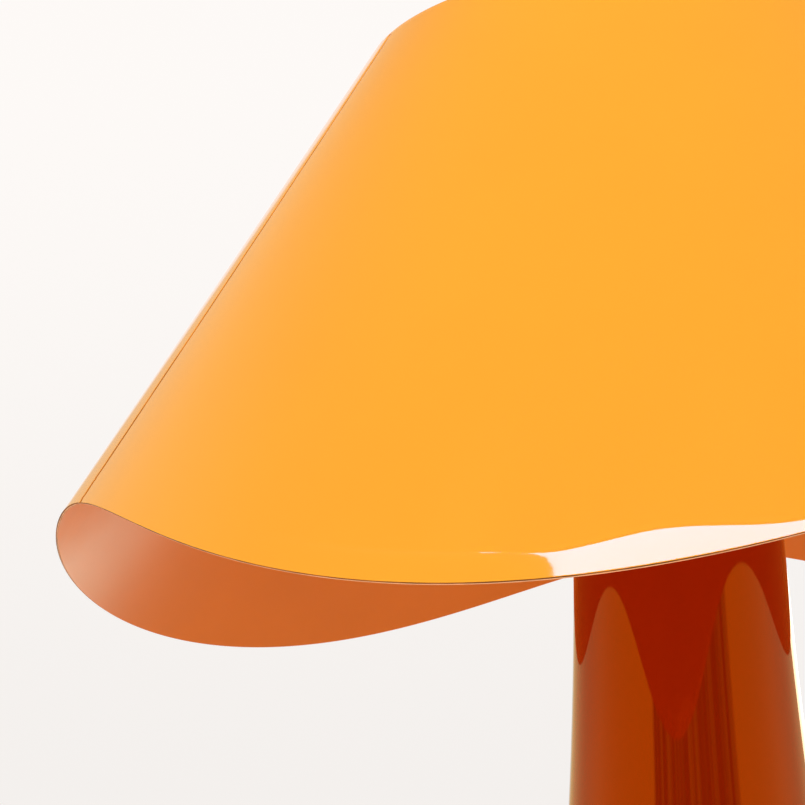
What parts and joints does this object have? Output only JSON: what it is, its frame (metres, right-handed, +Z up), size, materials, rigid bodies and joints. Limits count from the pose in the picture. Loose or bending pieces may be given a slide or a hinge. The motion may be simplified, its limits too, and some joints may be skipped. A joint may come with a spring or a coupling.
{
  "type": "floor lamp",
  "caption": "Mushroom floor lamp: wide cone shade with a wavy hem on a flared stem, with a cage, lampholder, lamp and weighted foot.",
  "frame": {"origin": "on the floor, at the centre of the foot, on the lamp's axis", "axes": "+Z up along the stem; the picture looks along +Y, with +X to its right; the cable inlet is at +Y"},
  "size_m": [0.6121, 0.5887, 1.0882],
  "materials": {
    "shade_enamel": "high gloss enamel, faint orange peel",
    "shade_inside": "gloss enamel, terracotta tone",
    "stem_enamel": "high gloss enamel",
    "zinc_steel": "zinc plated",
    "black_steel": "black powder coat",
    "cast_iron": "as cast, primed",
    "foot_rubber": "matte",
    "inlet_plastic": "fine matte",
    "brass": "satin",
    "nylon": "natural, waxy",
    "holder_plastic": "phenolic, satin",
    "ceramic_insert": "glazed steatite",
    "nickel": "nickel plated",
    "black_glass": "vitrite",
    "bulb_plastic": "satin white",
    "led_aluminium": "satin",
    "led_phosphor": "phosphor",
    "opal_glass": "opal, satin"
  },
  "bodies": {
    "stand": {"stem_body": "stem_enamel", "foot_ring": "foot_rubber", "base_plate": "black_steel", "foot_flange": "black_steel", "base_weight": "cast_iron", "base_plate_screws": "zinc_steel", "weight_screws": "zinc_steel", "stem_top_plate": "stem_enamel", "earth_screw": "brass", "cable_inlet": "inlet_plastic", "cable_inlet_nut": "inlet_plastic", "threaded_pipe": "zinc_steel", "pipe_washer": "zinc_steel", "pipe_nut": "zinc_steel", "cage_base_plate": "stem_enamel", "cage_rod_1": "zinc_steel", "cage_rod_2": "zinc_steel", "cage_rod_3": "zinc_steel", "cage_lower_screws": "zinc_steel", "cage_top_plate": "zinc_steel", "cage_upper_screws": "zinc_steel", "cage_post": "zinc_steel", "cage_post_screw": "zinc_steel", "holder_cap": "holder_plastic", "holder_grub_screw": "zinc_steel", "holder_sleeve": "holder_plastic", "holder_insert": "ceramic_insert", "holder_screw_shell": "brass", "holder_centre_contact": "brass", "switch_block": "holder_plastic"},
    "shade_seat": {"seat_washer": "nylon"},
    "shade": {"shade_hub": "zinc_steel", "shade_lid": "shade_enamel", "shade_skin": "shade_enamel"},
    "lock_shank": {"lock_screw": "brass"},
    "lock_handle": {"lock_knob": "brass"},
    "switch": {"switch_spindle": "zinc_steel", "switch_key": "holder_plastic"},
    "bulb_tip": {"bulb_contact": "brass"},
    "bulb": {"bulb_insulator": "black_glass", "bulb_cap": "nickel", "bulb_housing": "bulb_plastic", "bulb_board": "led_aluminium", "bulb_diodes": "led_phosphor", "bulb_globe": "opal_glass"}
  },
  "joints": [
    {"name": "shade_turn", "type": "hinge", "parent": "stand", "child": "shade_seat", "pos_m": [0, 0, 1.055], "axis": [0, 0, 1], "continuous": true},
    {"name": "shade_lift", "type": "slide", "parent": "shade_seat", "child": "shade", "axis": [0, 0, 1], "range_m": [0, 0.06]},
    {"name": "lock_travel", "type": "slide", "parent": "shade", "child": "lock_shank", "axis": [0, -1, 0], "range_m": [0, 0.0024]},
    {"name": "lock_turn", "type": "hinge", "parent": "lock_shank", "child": "lock_handle", "pos_m": [0, 0, 1.0725], "axis": [0, -1, 0], "range_deg": [0, 1080]},
    {"name": "switch_turn", "type": "hinge", "parent": "stand", "child": "switch", "pos_m": [0, 0, 0.8978], "axis": [0, -1, 0], "continuous": true},
    {"name": "bulb_rise", "type": "slide", "parent": "stand", "child": "bulb_tip", "axis": [0, 0, 1], "range_m": [0, 0.0144]},
    {"name": "bulb_turn", "type": "hinge", "parent": "bulb_tip", "child": "bulb", "pos_m": [0, 0, 0.93], "axis": [0, 0, 1], "range_deg": [0, 1440]}
  ],
  "couplings": [
    {"joint": "lock_turn", "follows": "lock_travel", "rad_per_m": 7854},
    {"joint": "bulb_turn", "follows": "bulb_rise", "rad_per_m": 1745.3}
  ]
}
